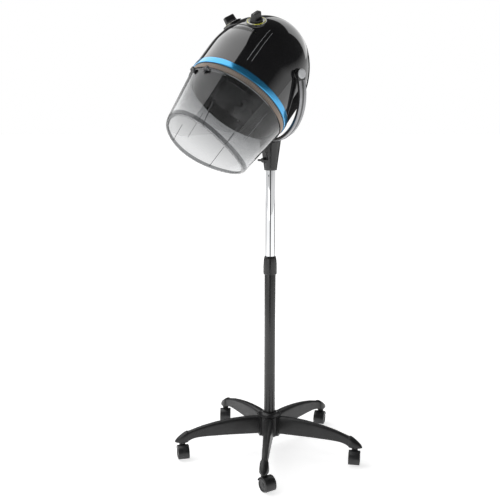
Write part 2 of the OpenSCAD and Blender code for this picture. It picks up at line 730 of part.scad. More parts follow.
// One turn of the heating wire
module coil_turn(k, wire) {
    translate([0, 0, roof_z + 9 + 6 * k]) rotate_extrude() translate([46, 0]) circle(r = wire, $fn = 24);
}
module heater_frame() {
    color([0.75, 0.7, 0.6]) in_hood() {
        ring(heater_r, heater_r - 3, roof_z, roof_z + 34);
        difference() {
            for (a = [0, 90]) rotate([0, 0, a]) translate([1 - heater_r, -1, roof_z + 4])
                cube([2 * heater_r - 2, 2, 28]);
            for (k = [0:3]) coil_turn(k, 1.5);
        }
    }
}
module heater_coil() { color([0.7, 0.45, 0.25]) in_hood() for (k = [0:3]) coil_turn(k, 1.2); }
module thermostat() {
    color([0.85, 0.85, 0.8]) in_hood() {
        translate([0, 0, roof_z + 32]) cylinder(r = 9, h = 5);
        for (x = [-5, 5]) translate([x - 2, -0.4, roof_z + 36]) cube([4, 0.8, 5]);
    }
}
module terminal_block() {
    color([0.9, 0.9, 0.85]) in_hood() rotate([0, 0, 150]) translate([shell_r - 34, -18, 24]) difference() {
        cube([16, 36, 16]);
        for (k = [0:2]) translate([8, 6 + 12 * k, 6]) cylinder(r = 3, h = 12);
    }
}
module cable_gland() {
    color([0.08, 0.08, 0.08]) in_hood() translate([0, 0, gland_z]) rotate([0, -90, 0]) {
        ring(gland_r, gland_bore_d / 2, shell_r - 12, shell_r + 12);
        ring(gland_r + 4, gland_r - 1, shell_r + 0.1, shell_r + 4);
        ring(gland_r + 4, gland_r + seat_gap, shell_r - shell_wall - 6, shell_r - shell_wall - 0.9);
    }
}
module screw() {
    translate([0, 0, -2.2]) cylinder(r = 3.6, h = 2.2);
    translate([0, 0, -1]) cylinder(r = 2, h = 12);
}
module shell_screws() {
    color("silver") in_hood() {
        at_motor_feet() translate([0, 0, bracket_z]) screw();
        at_drum_feet() translate([0, 0, -6]) screw();
    }
}

base_hub();
hub_cover();
hub_bolt();
leg_screws();
leg(1);  // leg_1
leg(2);  // leg_2
leg(3);  // leg_3
leg(4);  // leg_4
leg(5);  // leg_5
castor_fork(1);  // castor_fork_1
castor_fork(2);  // castor_fork_2
castor_fork(3);  // castor_fork_3
castor_fork(4);  // castor_fork_4
castor_fork(5);  // castor_fork_5
castor_stem(1);  // castor_stem_1
castor_stem(2);  // castor_stem_2
castor_stem(3);  // castor_stem_3
castor_stem(4);  // castor_stem_4
castor_stem(5);  // castor_stem_5
castor_wheels(1);  // castor_wheels_1
castor_wheels(2);  // castor_wheels_2
castor_wheels(3);  // castor_wheels_3
castor_wheels(4);  // castor_wheels_4
castor_wheels(5);  // castor_wheels_5
lower_tube();
guide_bush();
collar_ferrule();
clamp_collar();
upper_tube();
tube_foot();
head_bracket();
lock_screw();
yoke();
yoke_screws();
pivot_pins();
pivot_caps();
hood_shell();
friction_washers();
accent_band();
vent_ring();
inner_drum();
visor_ring();
visor_flap();
visor_pins();
control_panel();
dial_rings();
timer_knob();
heat_knob();
timer_unit();
heat_switch();
motor();
motor_bracket();
motor_shaft();
fan();
heater_frame();
heater_coil();
thermostat();
terminal_block();
cable_gland();
shell_screws();
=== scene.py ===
import json
import math

import bmesh
import bpy
from mathutils import Matrix, Vector


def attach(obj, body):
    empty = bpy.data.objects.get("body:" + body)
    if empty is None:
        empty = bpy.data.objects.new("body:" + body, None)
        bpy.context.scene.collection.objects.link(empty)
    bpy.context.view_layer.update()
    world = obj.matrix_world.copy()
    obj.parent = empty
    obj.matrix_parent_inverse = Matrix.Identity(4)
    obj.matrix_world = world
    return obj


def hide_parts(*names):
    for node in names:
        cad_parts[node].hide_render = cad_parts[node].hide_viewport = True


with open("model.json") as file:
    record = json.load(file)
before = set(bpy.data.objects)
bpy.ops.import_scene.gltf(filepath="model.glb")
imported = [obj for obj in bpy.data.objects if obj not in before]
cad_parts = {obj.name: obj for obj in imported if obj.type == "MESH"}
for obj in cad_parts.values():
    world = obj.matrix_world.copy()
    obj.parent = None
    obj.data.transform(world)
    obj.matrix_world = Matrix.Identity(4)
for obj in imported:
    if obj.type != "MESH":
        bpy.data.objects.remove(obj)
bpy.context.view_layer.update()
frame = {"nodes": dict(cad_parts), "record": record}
NODES = frame["nodes"]
MM = 0.001

# ---------------------------------------------------------------- sizes, as in the CAD (mm)
PIVOT = (36.5, 0.0, 1280.0)
TILT, LEAN = 42.3, 10.0
BACK, UP = 23.0, 109.0
SHELL_R, SHELL_WALL = 170.0, 3.0
DOME_EQ, DOME_H, CROWN_R = 75.0, 289.0, 143.0
CROWN_C = DOME_H - CROWN_R
SIDE_R = (SHELL_R**2 + (CROWN_C - DOME_EQ) ** 2 - CROWN_R**2) / (2 * (SHELL_R - CROWN_R))
SIDE_C = SHELL_R - SIDE_R
JOIN_A = math.atan2(CROWN_C - DOME_EQ, -SIDE_C)
BAND_LOW = -20.0
BORE_R, BAND_SIDE_R, BAND_R, BAND_CROWN_R = 167.3, 171.2, 172.0, 172.4
VENT_Z = -40.0
VENT_IN_R, VENT_GROOVE_R, VENT_LAND_R, RIB_R = 163.2, 166.0, 168.8, 168.95
RIBS = 150
SEAT_GAP = 0.05
FACE_GAP = 0.1
VISOR_TOP_R, VISOR_LEN, MOUTH_R, WAVE, WALL, LIP = 167.0, 221.0, 141.0, 18.0, 3.0, 11.0
EDGE_H, EDGE_ROLL, LIP_NOSE = 14.0, 6.0, 1.2
SLOPE = (VISOR_TOP_R - MOUTH_R) / (VISOR_LEN + VENT_Z)
WAVE_R = (MOUTH_R**2 + WAVE**2) / (2 * WAVE)
FLAP_HALF = 95.0
YOKE_T, YOKE_W = 12.0, 28.0
YOKE_TOPS = (2.0, -8.0, -20.0)
ARM_IN = 172.0
YOKE_DROP = 210.19
YOKE_R = ARM_IN + YOKE_T / 2
STRAIGHT = YOKE_DROP - YOKE_R
KNOB_RISE = 100.0
KNOB_A = math.degrees(math.asin(KNOB_RISE / SIDE_R))
KNOB_SIDE = 23.0
KNOB_BASE, KNOB_R, SKIRT_H = 3.9, 20.0, 7.4
GRIP_H = 26.0
SLOT_Z = DOME_EQ + KNOB_RISE - 52.0
SLOT_W, SLOT_H, SLOT_STEP, SLOTS_A_SIDE = 3.0, 13.0, 2.2, 15


def turned(degrees, axis="Z"):
    return Matrix.Rotation(math.radians(degrees), 4, axis)


def moved(x, y, z):
    """Shift given in millimetres, for a frame in metres."""
    return Matrix.Translation(Vector((x, y, z)) * MM)


HOOD = moved(*PIVOT) @ turned(-TILT, "Y") @ moved(BACK, 0, -UP)
YOKE = moved(*PIVOT) @ turned(LEAN, "Y")


def on_dome(side, rise):
    """Frame on the dome's flank, z along the outward normal."""
    return (HOOD @ turned(side) @ moved(SIDE_C, 0, DOME_EQ) @ turned(-rise, "Y") @ moved(SIDE_R, 0, 0)
            @ turned(90, "Y"))


def new_object(name, data):
    o = bpy.data.objects.new(name, data)
    bpy.context.scene.collection.objects.link(o)
    return o


def new_mesh(name, bm):
    me = bpy.data.meshes.new(name)
    bm.to_mesh(me)
    bm.free()
    return me


# ---------------------------------------------------------------- camera
cam_data = bpy.data.cameras.new("camera")
cam = new_object("camera", cam_data)
cam.location = (1.7345, 1.9953, 1.1886)
cam.rotation_euler = (math.radians(79.67), 0, math.radians(140.47))
cam_data.lens, cam_data.sensor_width = 57.55, 36.0
cam_data.clip_start, cam_data.clip_end = 0.05, 60
bpy.context.scene.camera = cam
bpy.context.scene.view_settings.view_transform = "Standard"

# ---------------------------------------------------------------- studio


def node(tree, kind, **inputs):
    n = tree.nodes.new(kind)
    for key, value in inputs.items():
        if key.startswith("_"):
            setattr(n, key[1:], value)
        else:
            n.inputs[key.replace("__", " ")].default_value = value
    return n


def map_range(tree, lo, hi, to_lo=0.0, to_hi=1.0):
    n = tree.nodes.new("ShaderNodeMapRange")
    for key, value in (("From Min", lo), ("From Max", hi), ("To Min", to_lo), ("To Max", to_hi)):
        n.inputs[key].default_value = value
    return n


def fill_ramp(ramp, stops):
    """Colour ramp from (place, colour) stops in order."""
    els = ramp.color_ramp.elements
    els[0].position, els[0].color = stops[0][0], (*stops[0][1], 1)
    els[1].position, els[1].color = stops[-1][0], (*stops[-1][1], 1)
    for place, colour in stops[1:-1]:
        els.new(place).color = (*colour, 1)


def softbox(name, spot, aim, width, height, glow):
    """Area light whose face has the radiance glow."""
    light = bpy.data.lights.new(name, "AREA")
    light.shape, light.size, light.size_y = "RECTANGLE", width, height
    light.energy = math.pi * width * height * glow
    o = new_object(name, light)
    o.location = spot
    o.rotation_euler = (Vector(aim) - Vector(spot)).to_track_quat("-Z", "Y").to_euler()
    o.visible_camera = False


def around(azimuth, rise, distance, centre):
    """Spot seen from centre at an azimuth and an elevation."""
    a, e = math.radians(azimuth), math.radians(rise)
    return (centre[0] + distance * math.cos(e) * math.cos(a),
            centre[1] + distance * math.cos(e) * math.sin(a), centre[2] + distance * math.sin(e))


# grey of the surroundings in reflections, from straight down to straight up
SKY = ((0.0, 0.9), (0.54, 0.72), (0.66, 0.05), (1.0, 0.04))
world = bpy.data.worlds.new("studio")
bpy.context.scene.world = world
world.use_nodes = True
wt = world.node_tree
wt.nodes.clear()
w_out = wt.nodes.new("ShaderNodeOutputWorld")
w_mix = wt.nodes.new("ShaderNodeMixShader")
w_path = wt.nodes.new("ShaderNodeLightPath")
w_max = node(wt, "ShaderNodeMath", _operation="MAXIMUM")
w_seen = node(wt, "ShaderNodeBackground", Color=(1, 1, 1, 1), Strength=1.0)
w_lit = node(wt, "ShaderNodeBackground", Strength=1.0)
w_co = wt.nodes.new("ShaderNodeTexCoord")
w_sep = wt.nodes.new("ShaderNodeSeparateXYZ")
w_ramp = wt.nodes.new("ShaderNodeValToRGB")
fill_ramp(w_ramp, [(place, (tone, tone, tone)) for place, tone in SKY])
w_map = map_range(wt, -1, 1)
wt.links.new(w_co.outputs["Generated"], w_sep.inputs[0])
wt.links.new(w_sep.outputs["Z"], w_map.inputs["Value"])
wt.links.new(w_map.outputs[0], w_ramp.inputs[0])
wt.links.new(w_ramp.outputs[0], w_lit.inputs[0])
wt.links.new(w_path.outputs["Is Camera Ray"], w_max.inputs[0])
wt.links.new(w_path.outputs["Is Transmission Ray"], w_max.inputs[1])
wt.links.new(w_max.outputs[0], w_mix.inputs[0])
wt.links.new(w_lit.outputs[0], w_mix.inputs[1])
wt.links.new(w_seen.outputs[0], w_mix.inputs[2])
wt.links.new(w_mix.outputs[0], w_out.inputs[0])

HEAD = (0.0, 0.0, 1.25)
softbox("tent", around(-56, 47, 3.0, HEAD), HEAD, 4.6, 4.5, 1.7)
softbox("back", around(-158, 30, 3.0, HEAD), HEAD, 2.0, 2.0, 0.8)
softbox("low_front", (2.9, 0.6, 0.9), (0, 0, 0.15), 2.4, 0.5, 1.2)

# ---------------------------------------------------------------- materials


def mix_colours(tree, first, second):
    n = node(tree, "ShaderNodeMix", _data_type="RGBA")
    n.inputs[6].default_value, n.inputs[7].default_value = (*first, 1), (*second, 1)
    return n


def material(name, colour, rough, metal=0.0, coat=0.0, coat_rough=0.04, ior=1.5, through=0.0,
             tone=None, tone_scale=12.0, vary=0.0, vary_scale=35.0, grain=0.0, grain_scale=900.0,
             stretch=(1, 1, 1)):
    """Principled material with noise in its tone, gloss and grain."""
    m = bpy.data.materials.new(name)
    m.use_nodes = True
    t = m.node_tree
    p = t.nodes["Principled BSDF"]
    p.inputs["Base Color"].default_value = (*colour, 1)
    p.inputs["Roughness"].default_value = rough
    p.inputs["Metallic"].default_value = metal
    p.inputs["IOR"].default_value = ior
    p.inputs["Coat Weight"].default_value = coat
    p.inputs["Coat Roughness"].default_value = coat_rough
    p.inputs["Transmission Weight"].default_value = through
    m.diffuse_color = (*colour, 1)
    co = t.nodes.new("ShaderNodeTexCoord")
    place = node(t, "ShaderNodeMapping")
    place.inputs["Scale"].default_value = stretch
    t.links.new(co.outputs["Object"], place.inputs[0])

    def noise(scale, detail=3.0):
        n = node(t, "ShaderNodeTexNoise", Scale=scale, Detail=detail)
        t.links.new(place.outputs[0], n.inputs["Vector"])
        return n.outputs["Fac"]

    if tone:
        mix = mix_colours(t, colour, tone)
        ramp = map_range(t, 0.38, 0.66)
        t.links.new(noise(tone_scale), ramp.inputs["Value"])
        t.links.new(ramp.outputs[0], mix.inputs[0])
        t.links.new(mix.outputs[2], p.inputs["Base Color"])
    if vary:
        r = map_range(t, 0.3, 0.7, max(rough - vary, 0.005), rough + vary)
        t.links.new(noise(vary_scale, 5.0), r.inputs["Value"])
        t.links.new(r.outputs[0], p.inputs["Roughness"])
    if grain:
        b = node(t, "ShaderNodeBump", Strength=grain, Distance=0.0003)
        t.links.new(noise(grain_scale, 2.0), b.inputs["Height"])
        t.links.new(b.outputs[0], p.inputs["Normal"])
    return m


GLOSS = material("piano_black", (0.006, 0.006, 0.007), 0.07, coat=1.0, coat_rough=0.015, vary=0.025,
                 vary_scale=22, tone=(0.010, 0.010, 0.011), grain=0.015, grain_scale=70)
DRUM = material("drum_black", (0.010, 0.010, 0.010), 0.16, vary=0.05, tone=(0.016, 0.016, 0.016), grain=0.02,
                grain_scale=140)
BLUE = material("band_blue", (0.03, 0.33, 0.68), 0.22, metal=0.8, coat=1.0, coat_rough=0.03, vary=0.05,
                vary_scale=900, tone=(0.06, 0.44, 0.80), tone_scale=1500)
RIB = material("rib_bronze", (0.62, 0.52, 0.44), 0.38, metal=0.2, vary=0.08, tone=(0.52, 0.43, 0.36),
               tone_scale=90, grain=0.05, grain_scale=1200)
DARK = material("slot_dark", (0.006, 0.006, 0.006), 0.7, vary=0.1, tone=(0.010, 0.009, 0.009), grain=0.1)
VISOR = material("visor_smoke", (0.60, 0.61, 0.62), 0.012, ior=1.45, through=1.0, vary=0.006, vary_scale=18)
VISOR_EDGE = material("visor_edge", (0.24, 0.245, 0.25), 0.03, ior=1.45, through=1.0, vary=0.01,
                      vary_scale=30, tone=(0.30, 0.305, 0.31), tone_scale=8)


def graduate(look, dark, clear, z_dark, z_clear):
    """Tint that clears along the hood's axis, from the inlet ring to the mouth."""
    t = look.node_tree
    co = t.nodes.new("ShaderNodeTexCoord")
    dot = node(t, "ShaderNodeVectorMath", _operation="DOT_PRODUCT")
    along = HOOD.to_3x3() @ Vector((0, 0, 1))
    dot.inputs[1].default_value = along
    base = (HOOD @ Vector((0, 0, 0))).dot(along)
    span = map_range(t, base + z_clear * MM, base + z_dark * MM)
    mix = mix_colours(t, clear, dark)
    t.links.new(co.outputs["Object"], dot.inputs[0])
    t.links.new(dot.outputs["Value"], span.inputs["Value"])
    t.links.new(span.outputs[0], mix.inputs[0])
    t.links.new(mix.outputs[2], t.nodes["Principled BSDF"].inputs["Base Color"])


graduate(VISOR, (0.27, 0.275, 0.28), (0.75, 0.755, 0.76), -50, -185)
SEAM = material("seam_grey", (0.05, 0.052, 0.055), 0.2, vary=0.05, tone=(0.08, 0.082, 0.085), grain=0.03)
# seam_lit is the seam grey made lighter: painted light on the upper rib lines that it colours
SEAM_LIT = material("seam_lit", (0.34, 0.34, 0.35), 0.2, vary=0.05, tone=(0.28, 0.28, 0.29), grain=0.03)
YOKE_M = material("yoke_black", (0.010, 0.010, 0.011), 0.2, coat=0.7, coat_rough=0.06, vary=0.05,
                  tone=(0.015, 0.015, 0.016), grain=0.04, grain_scale=420)
RIDGE = material("yoke_ridge", (0.30, 0.30, 0.31), 0.3, metal=0.85, coat=0.3, vary=0.06,
                 tone=(0.24, 0.24, 0.25), tone_scale=20, grain=0.05, grain_scale=700)
CAP = material("cap_grey", (0.56, 0.57, 0.58), 0.36, vary=0.06, tone=(0.50, 0.51, 0.52), grain=0.08,
               grain_scale=1600)
CHROME = material("chrome", (0.86, 0.87, 0.88), 0.035, metal=1.0, vary=0.02, vary_scale=60,
                  tone=(0.80, 0.81, 0.83), tone_scale=40, stretch=(1, 1, 0.05))
STEEL = material("zinc_steel", (0.62, 0.62, 0.64), 0.28, metal=1.0, vary=0.1, vary_scale=300,
                 tone=(0.52, 0.52, 0.54), tone_scale=200, grain=0.05)
POLE = material("pole_powder", (0.008, 0.008, 0.008), 0.26, coat=0.25, coat_rough=0.12, vary=0.06,
                tone=(0.012, 0.012, 0.012), grain=0.10, grain_scale=1700)
BASE = material("base_plastic", (0.016, 0.016, 0.0165), 0.36, vary=0.07, vary_scale=60,
                tone=(0.024, 0.024, 0.0245), tone_scale=25, grain=0.35, grain_scale=2200)
WHEEL = material("wheel_nylon", (0.020, 0.020, 0.021), 0.34, vary=0.08, vary_scale=120,
                 tone=(0.030, 0.030, 0.031), tone_scale=60, grain=0.2, grain_scale=1500)
COLLAR = material("collar_black", (0.009, 0.009, 0.009), 0.27, coat=0.2, coat_rough=0.1, vary=0.06,
                  tone=(0.014, 0.014, 0.014), grain=0.12, grain_scale=1200)
KNOB = material("knob_black", (0.016, 0.016, 0.017), 0.42, vary=0.06, tone=(0.024, 0.024, 0.025), grain=0.25,
                grain_scale=1800)
NYLON = material("nylon", (0.78, 0.76, 0.70), 0.45, vary=0.06, tone=(0.72, 0.70, 0.64), grain=0.06)
CREAM = material("cream_case", (0.66, 0.62, 0.50), 0.48, vary=0.06, tone=(0.60, 0.56, 0.45), grain=0.1)
BROWN = material("phenolic", (0.10, 0.05, 0.03), 0.4, vary=0.08, tone=(0.14, 0.075, 0.045), grain=0.1)
CAN = material("motor_can", (0.50, 0.50, 0.52), 0.35, metal=1.0, vary=0.1, tone=(0.42, 0.42, 0.44),
               grain=0.05)
FAN = material("fan_grey", (0.12, 0.12, 0.125), 0.45, vary=0.06, tone=(0.16, 0.16, 0.165), grain=0.1)
MICA = material("mica", (0.52, 0.44, 0.32), 0.38, vary=0.12, vary_scale=150, tone=(0.40, 0.33, 0.23),
                tone_scale=120, grain=0.1)
WIRE = material("heater_wire", (0.36, 0.22, 0.15), 0.4, metal=0.9, vary=0.1, tone=(0.24, 0.16, 0.14),
                tone_scale=80)
TRIM = material("trim_line", (0.50, 0.51, 0.52), 0.18, metal=0.6, vary=0.05, tone=(0.42, 0.43, 0.44))
MARK = material("dial_print", (0.80, 0.80, 0.78), 0.5, vary=0.06, tone=(0.74, 0.74, 0.72), grain=0.04)


def dial_paint(name, stops):
    """Ring paint whose colour turns round the ring's own axis."""
    m = material(name, stops[0][1], 0.22, vary=0.04, coat=0.6, grain=0.02)
    t = m.node_tree
    co = t.nodes.new("ShaderNodeTexCoord")
    sep = t.nodes.new("ShaderNodeSeparateXYZ")
    turn = node(t, "ShaderNodeMath", _operation="ARCTAN2")
    span = map_range(t, -math.pi, math.pi)
    ramp = t.nodes.new("ShaderNodeValToRGB")
    fill_ramp(ramp, stops)
    t.links.new(co.outputs["Object"], sep.inputs[0])
    t.links.new(sep.outputs["Y"], turn.inputs[0])
    t.links.new(sep.outputs["X"], turn.inputs[1])
    t.links.new(turn.outputs[0], span.inputs["Value"])
    t.links.new(span.outputs[0], ramp.inputs[0])
    t.links.new(ramp.outputs[0], t.nodes["Principled BSDF"].inputs["Base Color"])
    return m


YELLOW, WHITE, PINK, VIOLET = (0.72, 0.70, 0.04), (0.8, 0.8, 0.8), (0.7, 0.35, 0.4), (0.35, 0.25, 0.5)
DIAL_A = dial_paint("dial_ring_a", [(0.0, YELLOW), (0.4, YELLOW), (0.5, WHITE), (0.6, YELLOW),
                                    (1.0, YELLOW)])
DIAL_B = dial_paint("dial_ring_b", [(0.0, VIOLET), (0.2, PINK), (0.4, YELLOW), (0.7, WHITE), (1.0, VIOLET)])

SLOT_LOOK = {
    "base_black": BASE, "castor_black": WHEEL, "steel": STEEL, "pole_black": POLE, "nylon": NYLON,
    "collar_black": COLLAR, "chrome": CHROME, "yoke_black": YOKE_M, "cap_grey": CAP, "hood_black": GLOSS,
    "accent_blue": BLUE, "vent_bronze": RIB, "drum_black": DRUM, "visor_smoke": VISOR, "dial_white": MARK,
    "knob_black": KNOB, "unit_cream": CREAM, "switch_brown": BROWN, "motor_metal": CAN, "fan_grey": FAN,
    "mica": MICA, "heater_wire": WIRE,
}
for row in frame["record"]["subparts"]:
    o = NODES[row["node"]]
    look = SLOT_LOOK[row["material_slot"]]
    if o.material_slots:
        for s in o.material_slots:
            s.material = look
    else:
        o.data.materials.append(look)

# ---------------------------------------------------------------- making meshes


def shade(me, sharp):
    """Smooth shading with hard edges above an angle in degrees."""
    for f in me.polygons:
        f.use_smooth = True
    me.set_sharp_from_angle(angle=math.radians(sharp))


def add(name, bm, look, body, matrix, sharp=35, replaces=(), local=False):
    """A piece from a bmesh in millimetres, in the frame that matrix gives.

    local keeps that frame as the object's own.
    """
    bmesh.ops.scale(bm, vec=(MM, MM, MM), verts=bm.verts)
    if matrix is not None and not local:
        bmesh.ops.transform(bm, matrix=matrix, verts=bm.verts)
    bmesh.ops.recalc_face_normals(bm, faces=bm.faces)
    me = new_mesh(name, bm)
    shade(me, sharp)
    o = new_object(name, me)
    for each in (look if isinstance(look, tuple) else (look,)):
        me.materials.append(each)
    if local:
        o.matrix_world = matrix
    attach(o, body)
    if replaces:
        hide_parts(*replaces)
    return o


def soften(points, radius, steps=4, closed=True):
    """Rounds a polygon's corners. radius is one number, or a number for each corner."""
    out, n = [], len(points)
    for i, p in enumerate(points):
        r = radius[i] if isinstance(radius, (list, tuple)) else radius
        if r <= 0 or (not closed and i in (0, n - 1)):
            out.append(p)
            continue
        p, a, b = Vector(p), Vector(points[i - 1]), Vector(points[(i + 1) % n])
        da, db = (a - p), (b - p)
        cut = min(r, da.length * 0.48, db.length * 0.48)
        s, e = p + da.normalized() * cut, p + db.normalized() * cut
        for k in range(steps + 1):
            u = k / steps
            out.append(tuple((1 - u) ** 2 * s + 2 * u * (1 - u) * p + u * u * e))
    return out


def lathe(bm, profile, segs=128, closed=True, matrix=None):
    """Turns (r, z) points round z. closed joins the last point to the first."""
    rings = []
    for r, z in profile:
        if abs(r) < 1e-6:
            rings.append([bm.verts.new((0, 0, z))])
        else:
            angles = [2 * math.pi * k / segs for k in range(segs)]
            rings.append([bm.verts.new((r * math.cos(a), r * math.sin(a), z)) for a in angles])
    made = [v for ring in rings for v in ring]
    pairs = list(zip(rings, rings[1:])) + ([(rings[-1], rings[0])] if closed else [])
    for a, b in pairs:
        if len(a) == 1 and len(b) == 1:
            continue
        for k in range(segs):
            j = (k + 1) % segs
            if len(a) == 1:
                bm.faces.new((a[0], b[k], b[j]))
            elif len(b) == 1:
                bm.faces.new((a[k], a[j], b[0]))
            else:
                bm.faces.new((a[k], a[j], b[j], b[k]))
    if matrix is not None:
        bmesh.ops.transform(bm, matrix=matrix, verts=made)


def loft(bm, loops):
    """Joins loops of points of equal count into a closed skin."""
    rings = [[bm.verts.new(p) for p in loop] for loop in loops]
    n = len(rings[0])
    for a, b in zip(rings, rings[1:]):
        for k in range(n):
            bm.faces.new((a[k], a[(k + 1) % n], b[(k + 1) % n], b[k]))
    bm.faces.new(rings[0])
    bm.faces.new(rings[-1])


def cuboid(bm, lo, hi, matrix=None, bevel=0.0):
    """Box between two corners, bevelled and placed where that is asked for."""
    made = bmesh.ops.create_cube(bm, size=1.0)["verts"]
    size = Vector(hi) - Vector(lo)
    bmesh.ops.scale(bm, vec=size, verts=made)
    bmesh.ops.translate(bm, vec=(Vector(hi) + Vector(lo)) / 2, verts=made)
    if bevel:
        edges = list({e for v in made for e in v.link_edges})
        res = bmesh.ops.bevel(bm, geom=edges, offset=bevel, segments=2, affect="EDGES", profile=0.5)
        made = list({v for f in res["faces"] for v in f.verts} | {v for v in made if v.is_valid})
    if matrix is not None:
        bmesh.ops.transform(bm, matrix=matrix, verts=made)


def carve(o, cutter, operation="DIFFERENCE", matrix=None):
    """Boolean of o with what cutter makes in millimetres, in the frame that matrix gives."""
    bm = bmesh.new()
    cutter(bm)
    bmesh.ops.scale(bm, vec=(MM, MM, MM), verts=bm.verts)
    if matrix is not None:
        bmesh.ops.transform(bm, matrix=matrix, verts=bm.verts)
    bmesh.ops.recalc_face_normals(bm, faces=bm.faces)
    me = new_mesh("cutter", bm)
    tool = new_object("cutter", me)
    bpy.context.view_layer.update()
    mod = o.modifiers.new("cut", "BOOLEAN")
    mod.operation, mod.object, mod.solver = operation, tool, "EXACT"
    deps = bpy.context.evaluated_depsgraph_get()
    done = bpy.data.meshes.new_from_object(o.evaluated_get(deps))
    o.modifiers.clear()
    old = o.data
    o.data = done
    bpy.data.meshes.remove(old)
    bpy.data.objects.remove(tool)
    bpy.data.meshes.remove(me)
    shade(done, 35)


def crisp(name, width):
    """Rounds the hard edges of a CAD node's look, without touching its own mesh."""
    o = NODES[name]
    w = o.modifiers.new("weld", "WELD")
    w.merge_threshold = 0.00002
    b = o.modifiers.new("bevel", "BEVEL")
    b.width, b.segments, b.limit_method, b.angle_limit = width * MM, 2, "ANGLE", math.radians(38)
    b.harden_normals = True


# ---------------------------------------------------------------- hood


def dome_outline(inset=0.0, n=26):
    """(r, z) up the dome's side from its widest line to the crown."""
    pts = []
    for k in range(n):
        a = JOIN_A * k / n
        pts.append((SIDE_C + (SIDE_R - inset) * math.cos(a), DOME_EQ + (SIDE_R - inset) * math.sin(a)))
    for k in range(n + 1):
        a = JOIN_A + (math.pi / 2 - JOIN_A) * k / n
        pts.append((max((CROWN_R - inset) * math.cos(a), 0.0), CROWN_C + (CROWN_R - inset) * math.sin(a)))
    return pts


bm = bmesh.new()
rim = [(SHELL_R - SHELL_WALL, 0.0), (SHELL_R - 0.4, 0.0), (SHELL_R, 0.4), (SHELL_R, 25.0), (SHELL_R, 50.0)]
lathe(bm, rim + dome_outline() + dome_outline(SHELL_WALL)[::-1], segs=192)
dome = add("hood_dome", bm, GLOSS, "hood", HOOD, replaces=("hood_shell",))


def slots(b):
    """Row of outlet slots across the front of the dome."""
    for k in range(-SLOTS_A_SIDE, SLOTS_A_SIDE + 1):
        cuboid(b, (SHELL_R - 24, -SLOT_W / 2, SLOT_Z), (SHELL_R + 12, SLOT_W / 2, SLOT_Z + SLOT_H),
               turned(SLOT_STEP * k))


carve(dome, slots, matrix=HOOD)
bm = bmesh.new()
for s in (-1, 1):
    lathe(bm, soften([(5.1, 158), (17, 158), (17, 170.35), (5.1, 170.35)], 1.2), segs=64,
          matrix=Matrix.Translation((-BACK, 0, UP)) @ turned(-90 * s, "X"))
add("pivot_bosses", bm, YOKE_M, "hood", HOOD)

# two fine trim lines down each front flank of the dome
bm = bmesh.new()
TRIM_OUT, TRIM_ROUND, TRIM_SIDES = 0.55, 0.75, 8
trim_angles = [2 * math.pi * k / TRIM_SIDES for k in range(TRIM_SIDES)]
for side, z0, z1 in ((44.5, 28.0, 170.0), (49.0, 33.0, 158.0), (-44.5, 28.0, 170.0), (-49.0, 33.0, 158.0)):
    line = [(SHELL_R, z0), (SHELL_R, z0 + 20)] + [p for p in dome_outline() if p[1] < z1]
    loft(bm, [[turned(side) @ Vector((r + SEAT_GAP + TRIM_OUT * math.cos(a), TRIM_ROUND * math.sin(a), z))
               for a in trim_angles] for r, z in line])
add("dome_trim_lines", bm, TRIM, "hood", HOOD)

bm = bmesh.new()
band_bottom, band_top = BAND_LOW + FACE_GAP, -SEAT_GAP
lathe(bm, soften([(BORE_R, band_bottom), (BAND_SIDE_R, band_bottom), (BAND_R, -18.4), (BAND_CROWN_R, -10),
                  (BAND_R, -1.5), (BAND_SIDE_R, band_top), (BORE_R, band_top)],
                 [0.2, 0.5, 0.8, 6, 0.8, 0.5, 0.2], 4), segs=192)
add("accent_ring", bm, BLUE, "hood", HOOD, sharp=50, replaces=("accent_band",))

bm = bmesh.new()
vent_bottom, vent_top = VENT_Z + FACE_GAP, BAND_LOW - FACE_GAP
lathe(bm, [(VENT_IN_R, vent_bottom), (VENT_LAND_R, vent_bottom), (VENT_LAND_R, -38.2), (VENT_GROOVE_R, -37.6),
           (VENT_GROOVE_R, -22.4), (VENT_LAND_R, -21.8), (VENT_LAND_R, vent_top), (VENT_IN_R, vent_top)],
      segs=192)
add("inlet_core", bm, DARK, "hood", HOOD, replaces=("vent_ring",))
bm = bmesh.new()
rib_section = [(166.1, -1.5), (168.5, -1.3), (RIB_R, -0.9), (RIB_R, 0.9), (168.5, 1.3), (166.1, 1.5)]
for k in range(RIBS):
    turn = Matrix.Rotation(2 * math.pi * k / RIBS, 4, "Z")
    loft(bm, [[turn @ Vector((x, y, z)) for x, y in rib_section] for z in (-38.4, -21.6)])
add("inlet_ribs", bm, RIB, "hood", HOOD, sharp=60)

# ---------------------------------------------------------------- visor


def cone_r(z):
    """Outer radius of the visor at a height."""
    return VISOR_TOP_R - (VENT_Z - z) * SLOPE


def mouth_z(x):
    """Height of the visor's wavy edge."""
    return WAVE_R - VISOR_LEN - math.sqrt(WAVE_R**2 - x * x)


